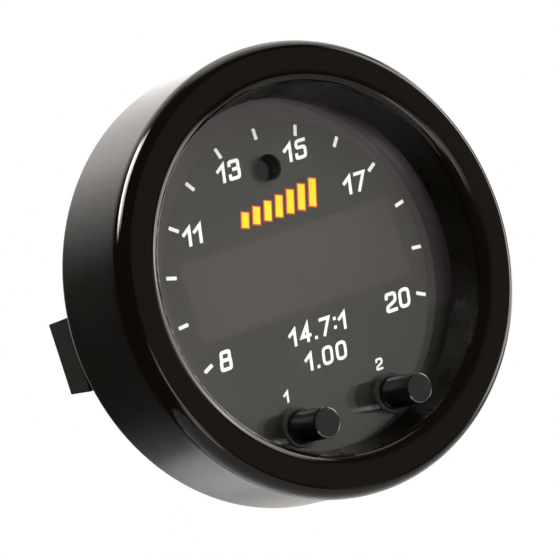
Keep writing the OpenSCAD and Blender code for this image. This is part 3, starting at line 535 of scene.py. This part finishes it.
# The studio as gloss mirrors it: the direction of each soft box or card, how many degrees from
# its middle it starts to fade and has faded, and its brightness
MIRRORED = (
    ((0.53, -0.85, -0.02), 8, 26, 0.52),       # pale card in front, at the right
    ((-0.10, -0.86, -0.50), 7, 15, 8.0),       # low soft box in front
    ((0.06, -0.98, -0.20), 3, 10, 8.0),        # narrow top of the low soft box
    ((0.92, 0.30, 0.05), 12, 22, 6.0),         # soft box at the right
    ((0.55, 0.12, 0.83), 16, 30, 3.0),         # soft box above
    ((0.94, -0.33, 0.04), 8, 17, 11.0),        # the middle, top and foot of a tall strip at the
    ((0.90, -0.33, 0.34), 8, 17, 11.0),        # right, which draws the lines along the opening's
    ((0.90, -0.30, -0.30), 8, 17, 11.0),       # rim and the outer edge
)

# A long narrow lamp bends over the upper left, and draws the white streak on the bezel's side.
STREAK_MIDDLE = (-0.52, 0.36, 0.775)      # direction of the lamp's middle
STREAK_SIDE = (-0.074, -0.921, 0.382)     # direction square to the arc that the lamp lies along
STREAK_WIDTH = (0.17, 0.08)               # sines of the angles from that arc where it fades in
STREAK_LENGTH = (0.38, 0.14)              # angles from its middle, in radians, where it fades in
STREAK_LEVEL = 75.0                       # its brightness

DARK_ROOM = 0.05                      # what gloss mirrors of the empty room
SOFT_LIGHT = 0.50                     # what the room gives to surfaces that don't mirror it
WARM_WHITE = (1.0, 0.965, 0.935, 1)
WHITE = (1, 1, 1, 1)


def hang(name, direction, distance, width, brightness):
    """Hangs a round soft box that faces the gauge. It isn't mirrored: gloss sees the room's picture."""
    light = bpy.data.lights.new(name, "AREA")
    light.shape = "DISK"
    light.size = width
    face = math.pi * width * width / 4
    light.energy = brightness * math.pi * face
    hung = bpy.data.objects.new(name, light)
    away = Vector(direction).normalized()
    hung.location = away * distance
    hung.rotation_euler = away.to_track_quat("Z", "Y").to_euler()
    hung.visible_camera = False
    hung.visible_glossy = False
    scene.collection.objects.link(hung)


def cosine(tree, look, direction):
    """Gives the cosine of the angle between a ray and a direction."""
    product = add(tree, "ShaderNodeVectorMath", {0: look, 1: direction}, operation="DOT_PRODUCT")
    return product.outputs["Value"]


def mirrored_room(tree):
    """Gives what gloss mirrors: white paper behind, dark at the left, with the soft boxes and cards."""
    look = add(tree, "ShaderNodeTexCoord").outputs["Generated"]
    axes = add(tree, "ShaderNodeSeparateXYZ", {"Vector": look}).outputs
    upper = ramp(tree, axes["X"], start=-0.46, end=0.0, high=1.75)
    lower = ramp(tree, axes["X"], start=-0.38, end=0.2, high=0.80)
    raised = ramp(tree, axes["Z"], start=-0.12, end=0.12, curve=SOFT)
    paper = between(tree, raised, lower, upper)
    behind = ramp(tree, axes["Y"], start=0.1, end=0.6, curve=SOFT)
    seen = maths(tree, "ADD", maths(tree, "MULTIPLY", behind, paper), DARK_ROOM)
    for direction, full, gone, brightness in MIRRORED:
        near = cosine(tree, look, Vector(direction).normalized())
        card = ramp(tree, near, start=math.cos(math.radians(gone)), end=math.cos(math.radians(full)),
                    high=brightness, curve=SOFT)
        seen = maths(tree, "ADD", seen, card)
    aside = maths(tree, "ABSOLUTE", cosine(tree, look, STREAK_SIDE))
    sides = ramp(tree, aside, *STREAK_WIDTH, high=STREAK_LEVEL, curve=SOFT)
    ends = ramp(tree, cosine(tree, look, STREAK_MIDDLE), *map(math.cos, STREAK_LENGTH), curve=SOFT)
    return maths(tree, "ADD", seen, maths(tree, "MULTIPLY", sides, ends))


def studio():
    """Paints the room: white for the camera, its own picture for gloss, and even light for the rest."""
    room = bpy.data.worlds.new("studio")
    scene.world = room
    # A room that is sampled as a lamp doesn't tell glossy rays from the rest, so it isn't.
    room.cycles.sampling_method = "NONE"
    room.use_nodes = True
    tree = room.node_tree
    tree.nodes.clear()
    ray = add(tree, "ShaderNodeLightPath").outputs
    gloss = maths(tree, "MAXIMUM", ray["Is Glossy Ray"], ray["Is Transmission Ray"])
    plain = between(tree, gloss, SOFT_LIGHT, mirrored_room(tree))
    strength = between(tree, ray["Is Camera Ray"], plain, 1.0)
    tint = blend(tree, ray["Is Camera Ray"], WARM_WHITE, WHITE)
    glow = add(tree, "ShaderNodeBackground", {"Color": tint, "Strength": strength})
    add(tree, "ShaderNodeOutputWorld", {"Surface": glow.outputs[0]})


FLOOR_RADIUS = 420 * MM
FLOOR_HEIGHT = -280 * MM
FLOOR_GLOW = 0.60      # lifts the paper to white where it is seen or mirrored, and leaves its shadow


def pale_floor():
    """Lays a round pale floor below the gauge. It shows white and keeps the gauge's shadow."""
    made, tree, paper = material("floor_paper")
    paper.inputs["Roughness"].default_value = 0.8
    place = add(tree, "ShaderNodeTexCoord").outputs["Object"]
    fibre = noise(tree, place, size=3, detail=4.0)
    tint = blend(tree, fibre, colour("#F0F0EE"), colour("#F4F4F2"))
    tree.links.new(tint, paper.inputs["Base Color"])
    ray = add(tree, "ShaderNodeLightPath").outputs
    seen = maths(tree, "MAXIMUM", ray["Is Camera Ray"], ray["Is Glossy Ray"])
    paper.inputs["Emission Color"].default_value = WHITE
    tree.links.new(maths(tree, "MULTIPLY", seen, FLOOR_GLOW), paper.inputs["Emission Strength"])
    sheet = bmesh.new()
    bmesh.ops.create_circle(sheet, cap_ends=True, segments=96, radius=FLOOR_RADIUS)
    data = bpy.data.meshes.new("floor")
    sheet.to_mesh(data)
    sheet.free()
    data.materials.append(made)
    floor = bpy.data.objects.new("floor", data)
    floor.location.z = FLOOR_HEIGHT
    scene.collection.objects.link(floor)


for name, sizes in SOFT_BOXES.items():
    hang(name, *sizes)
studio()
pale_floor()
